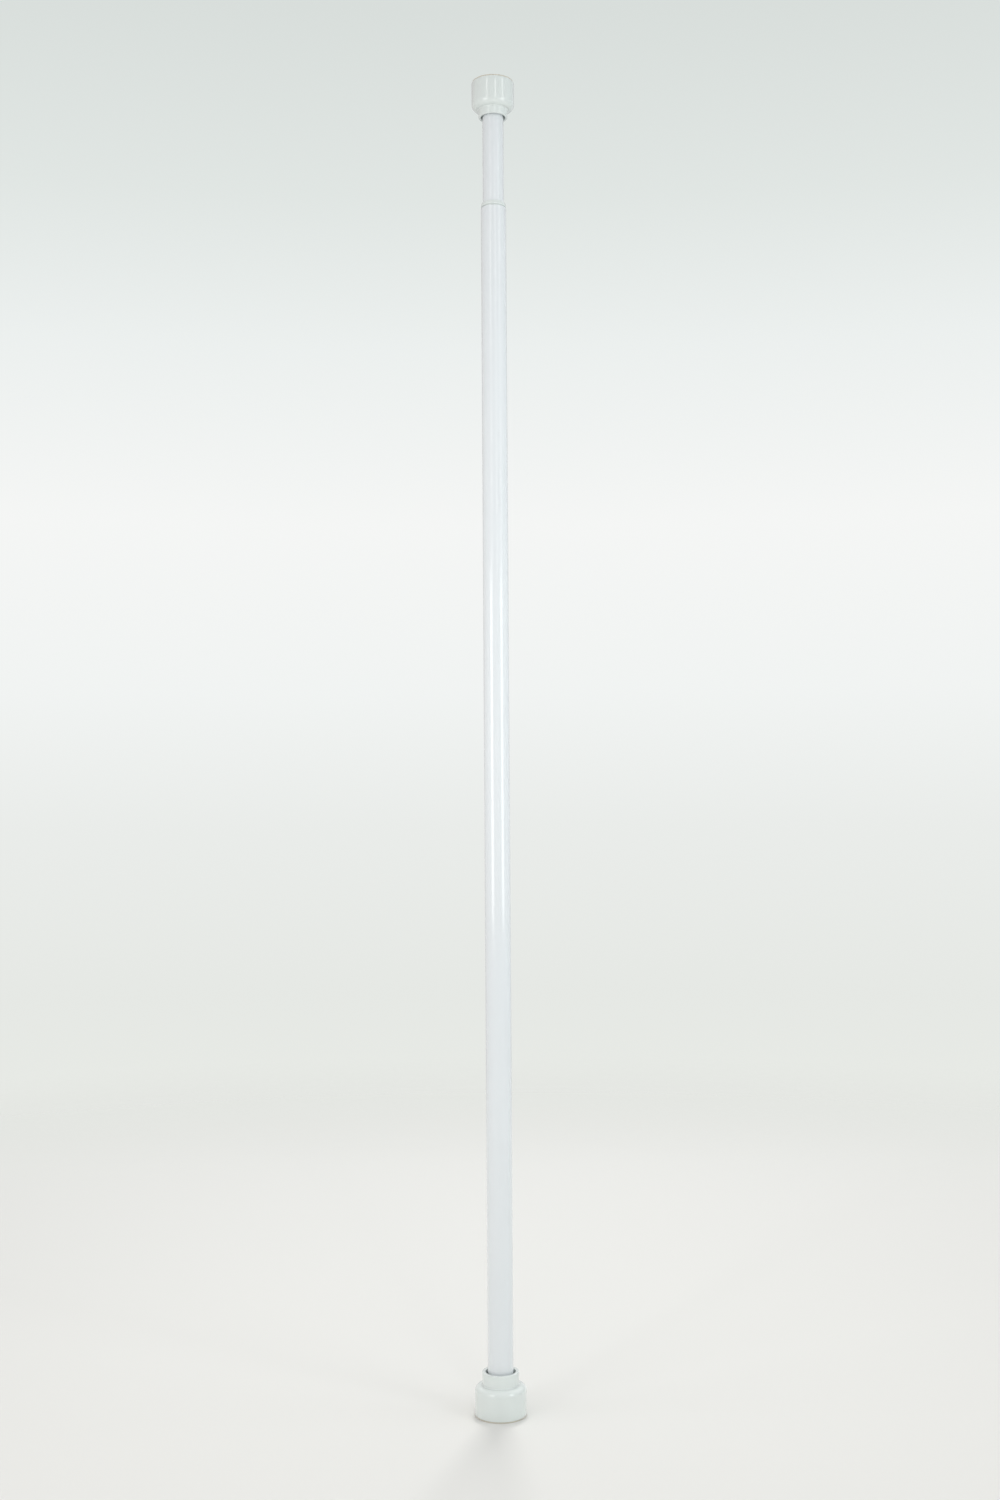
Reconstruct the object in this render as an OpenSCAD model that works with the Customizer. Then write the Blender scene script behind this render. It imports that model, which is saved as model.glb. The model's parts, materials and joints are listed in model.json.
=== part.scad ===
// Spring tension rod: two telescoping steel tubes with a twist lock and a
// compression spring inside, and a moulded cup with a soft pad at each end.
// +Z runs along the rod from the large pad's face to the small pad's face.

/* [Tubes] */
// Outside diameter of the outer tube
outer_tube_d = 25; // [20.5:0.5:30]
// Wall of the outer tube
outer_tube_wall = 0.8; // [0.6:0.05:1.2]
// Length of the outer tube
outer_tube_len = 1166.5; // [950:0.5:1900]
// Radial gap between the outer tube's bore and the inner tube
tube_gap = 1.2; // [1:0.05:1.5]
// Wall of the inner tube
inner_tube_wall = 0.7; // [0.5:0.05:0.9]
// Inner tube that still shows when it is pushed in and the spring is pressed
exposed_min = 1.5; // [1:0.5:80]

/* [Large cup] */
// Diameter of the large cup
large_cup_d = 50; // [44:0.5:64]
// Height of the large cup's body, from the wall to the start of the shoulder
large_body_h = 23.2; // [19:0.1:36]
// Height of the large cup over all, from the wall to the neck's rim
large_cup_h = 41.6; // [37:0.1:56]
// Wall of the large cup's neck
large_neck_wall = 3.4; // [2:0.1:4]
// Radial gap between the large cup's neck and the tube
large_neck_gap = 1.85; // [1:0.05:2.5]

/* [Small cup] */
// Diameter of the small cup
small_cup_d = 42.3; // [37:0.1:54]
// Height of the small cup's body, from the wall to the start of the shoulder
small_body_h = 22.2; // [18:0.1:28]
// Height of the small cup over all, from the wall to the neck's rim
small_cup_h = 35.8; // [32:0.1:48]
// Wall of the small cup's neck
small_neck_wall = 2.5; // [2:0.1:3.2]
// Radial gap between the small cup's neck and the tube
small_neck_gap = 1.35; // [1:0.05:2]

/* [Cup mouldings] */
// Outer wall of both cups
cup_wall = 2; // [1.6:0.1:2.6]
// Largest radius of the rounded shoulder
shoulder_r = 6; // [3:0.1:8]
// Radius of the hollow corner between the shoulder and the neck
neck_fillet_r = 1.2; // [0.6:0.1:1.6]
// Radius of the neck's rim, outside and inside
rim_r = 0.9; // [0.4:0.1:0.95]
// Distance from the wall to the floor that the tube is screwed to
floor_z = 8; // [7:0.1:11]
// Thickness of that floor
floor_t = 3; // [2:0.1:4]
// Wall of the socket that holds the tube
socket_wall = 2; // [1.6:0.1:2.4]
// Depth of the socket above the floor
socket_depth = 12; // [6:0.1:15]
// Number of ribs between the socket and the outer wall
rib_count = 8; // [4:1:12]
// Thickness of a rib
rib_t = 1.6; // [1:0.1:2.2]
// How far a rib stops below the start of the shoulder
rib_drop = 2; // [1:0.1:4]

/* [Pads] */
// Pad that shows between the wall and the cup's edge
pad_lip_t = 1.2; // [0.8:0.1:2]
// How far the pad's edge stands back from the cup's outside
pad_inset = 0.5; // [0.2:0.1:1]
// Depth of the part of the pad that plugs into the cup
pad_plug_t = 2.4; // [1.5:0.1:3]
// Width of a ring groove in the pad's face
pad_groove_w = 1.4; // [0.8:0.1:2]
// Depth of a ring groove in the pad's face
pad_groove_depth = 0.6; // [0.3:0.1:0.8]
// Distance from one ring groove to the next
pad_groove_pitch = 4; // [3:0.1:5]

/* [End fasteners] */
// Length of the plug pressed into each tube's end
end_plug_len = 30; // [22:1:40]
// Wall of the plug's hollow, past the end screw
end_plug_wall = 5; // [4:0.1:5.5]
// Diameter of the end screw's thread
end_screw_d = 4; // [3.5:0.1:4.5]
// Length of the end screw under its head
end_screw_len = 20; // [14:1:24]
// Diameter of the end screw's head
end_screw_head_d = 8; // [7:0.1:9]
// Height of the end screw's head
end_screw_head_h = 2.4; // [2:0.1:2.6]
// Diameter of the end washer
end_washer_d = 12; // [10:0.1:13]
// Thickness of the end washer
end_washer_t = 1; // [0.8:0.1:1.2]

/* [Collar] */
// Height of the collar that shows above the outer tube
collar_h = 5.2; // [4:0.1:8]
// How far the collar's outside stands back from the outer tube's
collar_inset = 0.2; // [0:0.05:0.5]
// Height of the collar's straight band under its crown
collar_band_h = 1.2; // [0.8:0.1:2]
// Radius of the collar's crown, seen in section
collar_crown_r = 8; // [7:0.1:11]
// Length of the collar's sleeve inside the outer tube
collar_sleeve_len = 25; // [15:1:40]

/* [Length setting] */
// How far the inner tube can go in from rest, with the spring at rest
length_in = 40; // [20:1:40]
// Gap left below the lock when the inner tube is pushed all the way in
lock_margin = 5; // [3:0.5:12]

/* [Twist lock] */
// Length of the ring that holds the lock from turning
glide_len = 10; // [8:0.5:14]
// Radial thickness of the glide ring
glide_t = 3.4; // [2.5:0.1:4]
// Width of the slit in the glide ring
glide_slit = 2; // [1:0.1:3]
// Length of the cam ring
cam_len = 14; // [10:0.5:20]
// Radial gap between the free cam ring and the outer tube's bore
cam_gap = 0.9; // [0.8:0.05:1.2]
// Offset of the cam ring's bore, and of the core's pin in it
cam_offset = 0.5; // [0.3:0.05:0.52]
// Diameter of the core's pin in the cam ring
cam_pin_d = 12; // [10:0.5:13]
// Number of grip grooves on the cam ring
cam_groove_count = 12; // [6:1:20]
// Depth of a grip groove
cam_groove_depth = 0.5; // [0.3:0.05:0.8]
// Radial gap between the core's flanges and the outer tube's bore
core_gap = 1.1; // [0.9:0.05:1.4]
// Thickness of the core's flange between the cam ring and the glide ring
core_mid_flange_t = 4; // [3:0.1:6]
// Thickness of the core's flange under the spring
core_top_flange_t = 4; // [3:0.1:6]
// Height of the core's spigot inside the spring
core_spigot_h = 12; // [8:0.5:14]
// Diameter of the cam screw's thread
cam_screw_d = 4; // [3:0.1:5]
// Length of the cam screw under its head
cam_screw_len = 18; // [12:1:19]
// Diameter of the cam screw's head
cam_screw_head_d = 8; // [7:0.1:9]
// Height of the cam screw's head
cam_screw_head_h = 2.6; // [2:0.1:3]
// Thickness of the washer that keeps the cam ring on
cam_washer_t = 1.5; // [1:0.1:2]

/* [Plunger] */
// Hexagon plunger rod, across its flats
rod_af = 6; // [5:0.1:7]
// Length of the rod held in the core
rod_seat_len = 16; // [12:0.5:18]
// Diameter of the cross pin through the core and the rod
rod_pin_d = 2.5; // [2:0.1:3]
// Diameter of the stud on the rod's end
rod_stud_d = 4; // [3:0.1:4.5]
// Diameter of the stop washer
stop_washer_d = 14; // [11:0.5:15]
// Thickness of the stop washer
stop_washer_t = 1.5; // [1:0.1:2]
// Stop nut across its flats
stop_nut_af = 7; // [6:0.1:8]
// Height of the stop nut
stop_nut_h = 4; // [3:0.1:5]

/* [Spring] */
// Radial gap between the spring and the outer tube's bore
spring_gap = 3.2; // [3:0.1:3.5]
// Diameter of the spring's wire
spring_wire_d = 1.8; // [1.5:0.05:2]
// Number of turns
spring_turns = 18; // [10:1:24]
// Length of the spring at rest
spring_len = 110; // [95:1:160]
// How far the spring gives
spring_travel = 45; // [20:1:45]

/* [Guide plug] */
// Length of the guide that runs in the outer tube
guide_len = 26; // [16:1:40]
// Width of each of the guide's two bearing bands
guide_band_w = 6; // [4:0.5:7]
// Depth of the relief between the bands
guide_relief = 1; // [0.6:0.1:1.5]
// Length of the spigot in the inner tube
guide_spigot_len = 28; // [20:1:40]
// Depth of the spring's seat in the guide
guide_seat_depth = 6; // [4:0.5:8]
// Thickness of the washer in the spring's seat
seat_washer_t = 1; // [0.8:0.1:1.5]
// Number of drive pins through the inner tube into the spigot
guide_pin_count = 3; // [2:1:4]
// Diameter of a drive pin
guide_pin_d = 2.5; // [2:0.1:3]
// Depth of a drive pin from the inner tube's outside
guide_pin_depth = 4; // [3:0.1:4.5]

/* [Fits] */
// Radial clearance of a running fit
run_fit = 0.05; // [0.02:0.01:0.1]
// Radial clearance of a pressed or bonded fit
press_fit = 0.01; // [0.005:0.005:0.02]
// Clearance between faces that move past or rest near each other
face_gap = 0.3; // [0.2:0.05:0.4]
// Clearance across the hexagon rod's flats in the guide
hex_fit = 0.1; // [0.06:0.01:0.2]
// Radial clearance of the spring in its seat
spring_seat_gap = 0.6; // [0.4:0.05:0.8]

/* [Hidden] */

$fn = 96;
cut = 1;                 // how far a cutting shape reaches past a face
pilot_share = 0.8;       // pilot hole, as a share of the screw's thread
screw_reserve = 2;       // how far a pilot hole runs on past its screw
stud_past_nut = 1;       // how far the rod's stud stands out of the stop nut
head_top_share = 0.7;    // flat of a screw's head, as a share of its diameter
slot_len_share = 0.6;    // cross slot's length, as a share of the head's diameter
slot_w_share = 0.14;     // cross slot's width, as a share of the head's diameter
slot_depth_share = 0.5;  // cross slot's depth, as a share of the head's height

// Colours
tube_white = [0.86, 0.88, 0.89];
cup_white = [0.84, 0.87, 0.86];
pad_cream = [0.80, 0.78, 0.72];
natural_nylon = [0.90, 0.88, 0.80];
black_nylon = [0.12, 0.12, 0.13];
zinc = [0.70, 0.72, 0.74];
spring_steel = [0.42, 0.44, 0.47];

// Tubes
outer_bore_d = outer_tube_d - 2 * outer_tube_wall;
inner_tube_d = outer_bore_d - 2 * tube_gap;
inner_bore_d = inner_tube_d - 2 * inner_tube_wall;
tube_seat_z = floor_z + floor_t;
mouth_z = tube_seat_z + outer_tube_len;
collar_top_z = mouth_z + collar_h;
exposed_len = length_in + spring_travel + exposed_min;
rod_len = collar_top_z + exposed_len + small_cup_h;

// Twist lock, from the bottom up
lock_z = tube_seat_z + end_plug_len + length_in + lock_margin;
cam_washer_z = lock_z + cam_screw_head_h;
cam_ring_z = cam_washer_z + cam_washer_t + face_gap;
cam_ring_d = outer_bore_d - 2 * cam_gap;
cam_pin_bottom_z = cam_washer_z + cam_washer_t;
core_flange_d = outer_bore_d - 2 * core_gap;
mid_flange_z = cam_ring_z + cam_len + face_gap;
glide_z = mid_flange_z + core_mid_flange_t + face_gap;
glide_d = outer_bore_d - 2 * run_fit;
glide_bore_d = glide_d - 2 * glide_t;
core_neck_d = glide_bore_d - 2 * run_fit;
top_flange_z = glide_z + glide_len + face_gap;
spring_z = top_flange_z + core_top_flange_t;
spring_d = outer_bore_d - 2 * spring_gap;
spigot_d = spring_d - 2 * spring_wire_d - 2 * face_gap;
core_top_z = spring_z + core_spigot_h;

// Spring and guide plug
guide_z = spring_z + spring_len + seat_washer_t - guide_seat_depth;
seat_washer_z = spring_z + spring_len;
inner_tube_z = guide_z + guide_len;
guide_top_z = inner_tube_z + guide_spigot_len;
guide_d = outer_bore_d - 2 * run_fit;
guide_seat_d = spring_d + 2 * spring_seat_gap;
guide_pin_z = inner_tube_z + guide_spigot_len / 2;

// Plunger rod
rod_z = core_top_z - rod_seat_len;
rod_shoulder_z = guide_top_z + face_gap;
rod_top_z = rod_shoulder_z + stop_washer_t + stop_nut_h + stud_past_nut;
rod_pin_z = core_top_z - core_spigot_h / 2;

// Small end
inner_tube_top_z = rod_len - floor_z - floor_t;
inner_tube_len = inner_tube_top_z - inner_tube_z;

// Diameter of a hexagon's corners for a width across its flats
function hex_d(af) = af / cos(30);

module tube(d_out, d_in, len) {
    difference() {
        cylinder(d = d_out, h = len);
        translate([0, 0, -cut]) cylinder(d = d_in, h = len + 2 * cut);
    }
}

module hex_bar(af, len) {
    rotate(30) cylinder(d = hex_d(af), h = len, $fn = 6);
}

// Half section of a cup, in a plane with the axis at x = 0 and the wall at y = 0
module cup_section(cup_d, body_h, cup_h, tube_d, neck_gap, neck_wall) {
    cup_r = cup_d / 2;
    neck_bore_r = tube_d / 2 + neck_gap;
    neck_r = neck_bore_r + neck_wall;
    ledge_w = cup_r - neck_r;
    round_r = min(shoulder_r, ledge_w - neck_fillet_r, body_h - pad_lip_t);
    ledge_y = body_h + round_r;
    socket_r = tube_d / 2 + press_fit;
    socket_top_y = floor_z + floor_t + socket_depth;
    socket_out_r = socket_r + socket_wall;
    difference() {
        union() {
            translate([0, pad_lip_t]) square([cup_r, body_h - pad_lip_t]);
            translate([0, pad_lip_t]) square([cup_r - round_r, ledge_y - pad_lip_t]);
            translate([cup_r - round_r, body_h]) circle(r = round_r);
            translate([0, ledge_y - cut]) square([neck_r + neck_fillet_r, neck_fillet_r + cut]);
            translate([0, ledge_y]) square([neck_r, cup_h - rim_r - ledge_y]);
            translate([0, ledge_y]) square([neck_r - rim_r, cup_h - ledge_y]);
            translate([neck_r - rim_r, cup_h - rim_r]) circle(r = rim_r);
        }
        translate([neck_r + neck_fillet_r, ledge_y + neck_fillet_r]) circle(r = neck_fillet_r);
        // rounded inner edge of the rim
        translate([neck_bore_r, cup_h - rim_r]) difference() {
            translate([-cut, 0]) square([rim_r + cut, rim_r + cut]);
            translate([rim_r, 0]) circle(r = rim_r);
        }
        // neck, socket, screw hole and the hollow under the floor
        translate([-cut, socket_top_y]) square([neck_bore_r + cut, cup_h]);
        translate([-cut, floor_z + floor_t]) square([socket_r + cut, cup_h]);
        translate([-cut, -cut]) square([end_screw_d / 2 + face_gap + cut, cup_h]);
        translate([-cut, -cut]) square([socket_out_r + cut, floor_z + cut]);
        // hollow between the socket and the outer wall
        translate([socket_out_r, -cut]) square([cup_r - cup_wall - socket_out_r, body_h + cut]);
        translate([socket_out_r, body_h - cut]) intersection() {
            square([cup_r - cup_wall - socket_out_r, ledge_y - body_h]);
            translate([cup_r - round_r - socket_out_r, cut]) circle(r = round_r - cup_wall);
        }
    }
}

// Ribs between the socket and the outer wall, from the pad up
module cup_ribs(cup_d, body_h, tube_d) {
    rib_in_r = tube_d / 2 + press_fit + socket_wall / 2;
    rib_out_r = cup_d / 2 - cup_wall / 2;
    rib_z = pad_lip_t + pad_plug_t;
    for (i = [0 : rib_count - 1])
        rotate(i * 360 / rib_count) translate([rib_in_r, -rib_t / 2, rib_z])
            cube([rib_out_r - rib_in_r, rib_t, body_h - rib_drop - rib_z]);
}

module cup(cup_d, body_h, cup_h, tube_d, neck_gap, neck_wall) {
    color(cup_white) union() {
        rotate_extrude() cup_section(cup_d, body_h, cup_h, tube_d, neck_gap, neck_wall);
        cup_ribs(cup_d, body_h, tube_d);
    }
}

// Soft pad with ring grooves, its face at z = 0 and its plug inside the cup
module pad(cup_d) {
    lip_r = cup_d / 2 - pad_inset;
    plug_r = cup_d / 2 - cup_wall - press_fit;
    groove_count = floor((lip_r - 2 * pad_groove_w) / pad_groove_pitch);
    color(pad_cream) difference() {
        union() {
            cylinder(r = lip_r, h = pad_lip_t);
            cylinder(r = plug_r, h = pad_lip_t + pad_plug_t);
        }
        for (i = [1 : groove_count])
            translate([0, 0, -cut]) difference() {
                cylinder(r = i * pad_groove_pitch + pad_groove_w / 2, h = cut + pad_groove_depth);
                translate([0, 0, -cut])
                    cylinder(r = i * pad_groove_pitch - pad_groove_w / 2, h = 3 * cut + pad_groove_depth);
            }
    }
}

// Plug in a tube's end, from the cup's floor up, with a pilot hole for the end screw
module end_plug(tube_bore_d) {
    hollow_d = tube_bore_d - 2 * end_plug_wall;
    hollow_z = end_screw_len - end_washer_t - floor_t + screw_reserve;
    color(natural_nylon) translate([0, 0, tube_seat_z]) difference() {
        cylinder(d = tube_bore_d - 2 * press_fit, h = end_plug_len);
        translate([0, 0, -cut]) cylinder(d = end_screw_d * pilot_share, h = hollow_z + 2 * cut);
        translate([0, 0, hollow_z]) cylinder(d = hollow_d, h = end_plug_len);
    }
}

// Round-headed screw with a cross slot, its head down and the underside of the head at z = 0
module screw(thread_d, len, head_d, head_h) {
    slot_w = head_d * slot_w_share;
    slot_len = head_d * slot_len_share;
    slot_depth = head_h * slot_depth_share;
    color(zinc) difference() {
        union() {
            cylinder(d = thread_d * pilot_share, h = len);
            translate([0, 0, -head_h]) cylinder(d1 = head_d * head_top_share, d2 = head_d, h = head_h);
        }
        for (turn = [0, 90])
            rotate(turn) translate([-slot_len / 2, -slot_w / 2, -head_h - cut])
                cube([slot_len, slot_w, slot_depth + cut]);
    }
}

module end_screw() {
    translate([0, 0, floor_z - end_washer_t])
        screw(end_screw_d, end_screw_len, end_screw_head_d, end_screw_head_h);
}

module end_washer() {
    color(zinc) translate([0, 0, floor_z - end_washer_t])
        tube(end_washer_d, end_screw_d + 2 * face_gap, end_washer_t);
}

// Puts a piece of the small end, drawn from the wall upwards, at the rod's top
module at_small_end() {
    translate([0, 0, rod_len]) mirror([0, 0, 1]) children();
}

module outer_tube() {
    color(tube_white) translate([0, 0, tube_seat_z]) tube(outer_tube_d, outer_bore_d, outer_tube_len);
}

module mouth_collar() {
    band_r = outer_tube_d / 2 - collar_inset;
    bore_r = inner_tube_d / 2 + run_fit;
    color(cup_white) translate([0, 0, mouth_z]) rotate_extrude() difference() {
        union() {
            square([band_r, collar_band_h]);
            intersection() {
                square([band_r, collar_h]);
                translate([band_r - collar_crown_r, collar_band_h]) circle(r = collar_crown_r);
            }
            translate([0, -collar_sleeve_len])
                square([outer_bore_d / 2 - press_fit, collar_sleeve_len + cut]);
        }
        translate([-cut, -collar_sleeve_len - cut])
            square([bore_r + cut, collar_sleeve_len + collar_h + 2 * cut]);
    }
}

module large_cup() {
    cup(large_cup_d, large_body_h, large_cup_h, outer_tube_d, large_neck_gap, large_neck_wall);
}

module large_pad() {
    pad(large_cup_d);
}

module large_end_plug() {
    end_plug(outer_bore_d);
}

module large_end_screw() {
    end_screw();
}

module large_end_washer() {
    end_washer();
}

module glide_ring() {
    color(natural_nylon) translate([0, 0, glide_z]) difference() {
        tube(glide_d, glide_bore_d, glide_len);
        translate([0, -glide_slit / 2, -cut]) cube([glide_d, glide_slit, glide_len + 2 * cut]);
    }
}

module lock_core() {
    color(black_nylon) difference() {
        union() {
            translate([cam_offset, 0, cam_pin_bottom_z])
                cylinder(d = cam_pin_d, h = mid_flange_z - cam_pin_bottom_z + cut);
            translate([0, 0, mid_flange_z]) cylinder(d = core_flange_d, h = core_mid_flange_t);
            translate([0, 0, mid_flange_z])
                cylinder(d = core_neck_d, h = top_flange_z - mid_flange_z + cut);
            translate([0, 0, top_flange_z]) cylinder(d = core_flange_d, h = core_top_flange_t);
            translate([0, 0, top_flange_z]) cylinder(d = spigot_d, h = core_top_z - top_flange_z);
        }
        translate([cam_offset, 0, cam_pin_bottom_z - cut])
            cylinder(d = cam_screw_d * pilot_share, h = cam_screw_len - cam_washer_t + screw_reserve + cut);
        translate([0, 0, rod_z]) hex_bar(rod_af + 2 * press_fit, rod_seat_len + cut);
        translate([-spigot_d, 0, rod_pin_z]) rotate([0, 90, 0])
            cylinder(d = rod_pin_d, h = 2 * spigot_d);
    }
}

module cam_ring() {
    color(natural_nylon) translate([0, 0, cam_ring_z]) difference() {
        cylinder(d = cam_ring_d, h = cam_len);
        translate([cam_offset, 0, -cut]) cylinder(d = cam_pin_d + 2 * run_fit, h = cam_len + 2 * cut);
        for (i = [0 : cam_groove_count - 1])
            rotate(i * 360 / cam_groove_count) translate([cam_ring_d / 2, 0, -cut])
                rotate(45) translate([-cam_groove_depth, -cam_groove_depth, 0])
                    cube([2 * cam_groove_depth, 2 * cam_groove_depth, cam_len + 2 * cut]);
    }
}

// The washer turns about the pin, and stays inside the cam ring's grip grooves
module cam_washer() {
    washer_d = cam_ring_d - 2 * cam_offset - 2 * cam_groove_depth;
    color(zinc) translate([cam_offset, 0, cam_washer_z])
        tube(washer_d, cam_screw_d + 2 * face_gap, cam_washer_t);
}

module cam_screw() {
    translate([cam_offset, 0, cam_washer_z])
        screw(cam_screw_d, cam_screw_len, cam_screw_head_d, cam_screw_head_h);
}

module plunger_rod() {
    color(zinc) difference() {
        union() {
            translate([0, 0, rod_z]) hex_bar(rod_af, rod_shoulder_z - rod_z);
            translate([0, 0, rod_shoulder_z - cut])
                cylinder(d = rod_stud_d, h = rod_top_z - rod_shoulder_z + cut);
        }
        translate([-rod_af, 0, rod_pin_z]) rotate([0, 90, 0]) cylinder(d = rod_pin_d, h = 2 * rod_af);
    }
}

module rod_pin() {
    pin_len = spigot_d - 2 * face_gap;
    color(zinc) translate([-pin_len / 2, 0, rod_pin_z]) rotate([0, 90, 0])
        cylinder(d = rod_pin_d - 2 * press_fit, h = pin_len);
}

module stop_washer() {
    color(zinc) translate([0, 0, rod_shoulder_z])
        tube(stop_washer_d, rod_stud_d + 2 * press_fit, stop_washer_t);
}

module stop_nut() {
    color(zinc) translate([0, 0, rod_shoulder_z + stop_washer_t]) difference() {
        hex_bar(stop_nut_af, stop_nut_h);
        translate([0, 0, -cut]) cylinder(d = rod_stud_d + 2 * press_fit, h = stop_nut_h + 2 * cut);
    }
}

// Spring: a ring of wire points at each step along the coil, with closed end turns
spring_steps = 14;       // rings of points in a turn
wire_sides = 8;          // points in a ring
spring_mean_r = (spring_d - spring_wire_d) / 2;
spring_rise = spring_len - spring_wire_d;
spring_ring_count = spring_turns * spring_steps;

// Height of the wire's centre at turn t: the first and last turns are closed
function coil_z(t) =
    let (open_turns = spring_turns - 2, pitch = (spring_rise - 2 * spring_wire_d) / open_turns)
    t < 1 ? t * spring_wire_d
    : t > spring_turns - 1 ? spring_rise - (spring_turns - t) * spring_wire_d
    : spring_wire_d + (t - 1) * pitch;

function wire_point(ring, side) =
    let (t = ring / spring_steps, turn = 360 * t, around = 360 * side / wire_sides,
         r = spring_mean_r + spring_wire_d / 2 * cos(around))
    [r * cos(turn), r * sin(turn), coil_z(t) + spring_wire_d / 2 * (1 + sin(around))];

module plunger_spring() {
    points = [for (ring = [0 : spring_ring_count]) for (side = [0 : wire_sides - 1])
        wire_point(ring, side)];
    sides = [for (ring = [0 : spring_ring_count - 1]) for (side = [0 : wire_sides - 1])
        let (a = ring * wire_sides, next = (side + 1) % wire_sides)
        [a + side, a + side + wire_sides, a + next + wire_sides, a + next]];
    first_end = [for (side = [0 : wire_sides - 1]) side];
    last_end = [for (side = [wire_sides - 1 : -1 : 0]) spring_ring_count * wire_sides + side];
    color(spring_steel) translate([0, 0, spring_z])
        polyhedron(points = points, faces = concat(sides, [first_end], [last_end]));
}

module inner_tube() {
    color(tube_white) translate([0, 0, inner_tube_z]) difference() {
        tube(inner_tube_d, inner_bore_d, inner_tube_len);
        guide_pin_holes(guide_pin_z - inner_tube_z);
    }
}

// Radial holes for the drive pins, at height z
module guide_pin_holes(z) {
    for (i = [0 : guide_pin_count - 1])
        rotate(i * 360 / guide_pin_count) translate([inner_tube_d / 2 - guide_pin_depth, 0, z])
            rotate([0, 90, 0]) cylinder(d = guide_pin_d, h = guide_pin_depth + cut);
}

module guide_plug() {
    relief_h = guide_len - 2 * guide_band_w;
    color(black_nylon) difference() {
        translate([0, 0, guide_z]) union() {
            cylinder(d = guide_d, h = guide_band_w);
            cylinder(d = guide_d - 2 * guide_relief, h = guide_len);
            translate([0, 0, guide_band_w + relief_h]) cylinder(d = guide_d, h = guide_band_w);
            cylinder(d = inner_bore_d - 2 * press_fit, h = guide_len + guide_spigot_len);
        }
        translate([0, 0, guide_z - cut]) cylinder(d = guide_seat_d, h = guide_seat_depth + cut);
        translate([0, 0, guide_z]) hex_bar(rod_af + 2 * hex_fit, guide_top_z - guide_z + cut);
        guide_pin_holes(guide_pin_z);
    }
}

module guide_pins() {
    color(zinc) for (i = [0 : guide_pin_count - 1])
        rotate(i * 360 / guide_pin_count) translate([inner_tube_d / 2 - guide_pin_depth, 0, guide_pin_z])
            rotate([0, 90, 0]) cylinder(d = guide_pin_d - 2 * press_fit, h = guide_pin_depth - face_gap);
}

module seat_washer() {
    color(zinc) translate([0, 0, seat_washer_z])
        tube(guide_seat_d - 2 * face_gap, hex_d(rod_af) + 2 * face_gap, seat_washer_t);
}

module small_cup() {
    at_small_end()
        cup(small_cup_d, small_body_h, small_cup_h, inner_tube_d, small_neck_gap, small_neck_wall);
}

module small_pad() {
    at_small_end() pad(small_cup_d);
}

module small_end_plug() {
    at_small_end() end_plug(inner_bore_d);
}

module small_end_screw() {
    at_small_end() end_screw();
}

module small_end_washer() {
    at_small_end() end_washer();
}

outer_tube();
mouth_collar();
large_cup();
large_pad();
large_end_plug();
large_end_screw();
large_end_washer();
glide_ring();
lock_core();
cam_ring();
cam_washer();
cam_screw();
plunger_rod();
rod_pin();
stop_washer();
stop_nut();
plunger_spring();
inner_tube();
guide_plug();
guide_pins();
seat_washer();
small_cup();
small_pad();
small_end_plug();
small_end_screw();
small_end_washer();
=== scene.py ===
import json
from math import cos, pi, radians, sin, sqrt, tan

import bmesh
import bpy
from mathutils import Matrix, Vector


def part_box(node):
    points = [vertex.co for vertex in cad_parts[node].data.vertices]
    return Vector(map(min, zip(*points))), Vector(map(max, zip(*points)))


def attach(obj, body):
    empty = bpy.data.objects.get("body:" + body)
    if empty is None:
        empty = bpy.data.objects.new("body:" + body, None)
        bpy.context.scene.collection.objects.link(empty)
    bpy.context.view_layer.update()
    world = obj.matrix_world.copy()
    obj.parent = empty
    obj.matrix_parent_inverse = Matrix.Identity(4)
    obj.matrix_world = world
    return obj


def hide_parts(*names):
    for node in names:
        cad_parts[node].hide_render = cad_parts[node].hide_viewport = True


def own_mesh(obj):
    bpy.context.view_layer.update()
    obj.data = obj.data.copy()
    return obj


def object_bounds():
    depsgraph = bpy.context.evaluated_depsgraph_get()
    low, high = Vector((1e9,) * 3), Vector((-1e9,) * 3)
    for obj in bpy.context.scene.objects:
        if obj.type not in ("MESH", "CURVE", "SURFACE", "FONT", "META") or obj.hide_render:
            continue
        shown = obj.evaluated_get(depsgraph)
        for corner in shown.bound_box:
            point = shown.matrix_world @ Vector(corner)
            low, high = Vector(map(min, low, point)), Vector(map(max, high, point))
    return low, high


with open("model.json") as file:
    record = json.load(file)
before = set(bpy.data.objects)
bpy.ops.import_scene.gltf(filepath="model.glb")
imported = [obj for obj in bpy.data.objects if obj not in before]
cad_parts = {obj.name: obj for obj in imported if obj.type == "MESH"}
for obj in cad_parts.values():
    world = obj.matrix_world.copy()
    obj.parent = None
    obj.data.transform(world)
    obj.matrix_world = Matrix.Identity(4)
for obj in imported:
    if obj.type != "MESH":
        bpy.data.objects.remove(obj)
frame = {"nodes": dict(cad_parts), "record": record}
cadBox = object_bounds()
mm = 0.001
weldGap = 1e-7  # points closer than this, in metres, are one
scene = bpy.context.scene
print("frame loaded, rod", round(cadBox[1].z / mm, 1), "mm long")


# Node helpers: a value that is a socket is linked, any other is set
def addNode(tree, kind, values=None, **settings):
    made = tree.nodes.new(kind)
    for name, value in settings.items():
        setattr(made, name, value)
    for socket, value in (values or {}).items():
        if isinstance(value, bpy.types.NodeSocket):
            tree.links.new(value, made.inputs[socket])
        else:
            made.inputs[socket].default_value = value
    return made


def addMath(tree, operation, first, second=0.0, third=0.0, clamp=False):
    node = addNode(tree, "ShaderNodeMath", {0: first, 1: second, 2: third},
                   operation=operation, use_clamp=clamp)
    return node.outputs[0]


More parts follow.
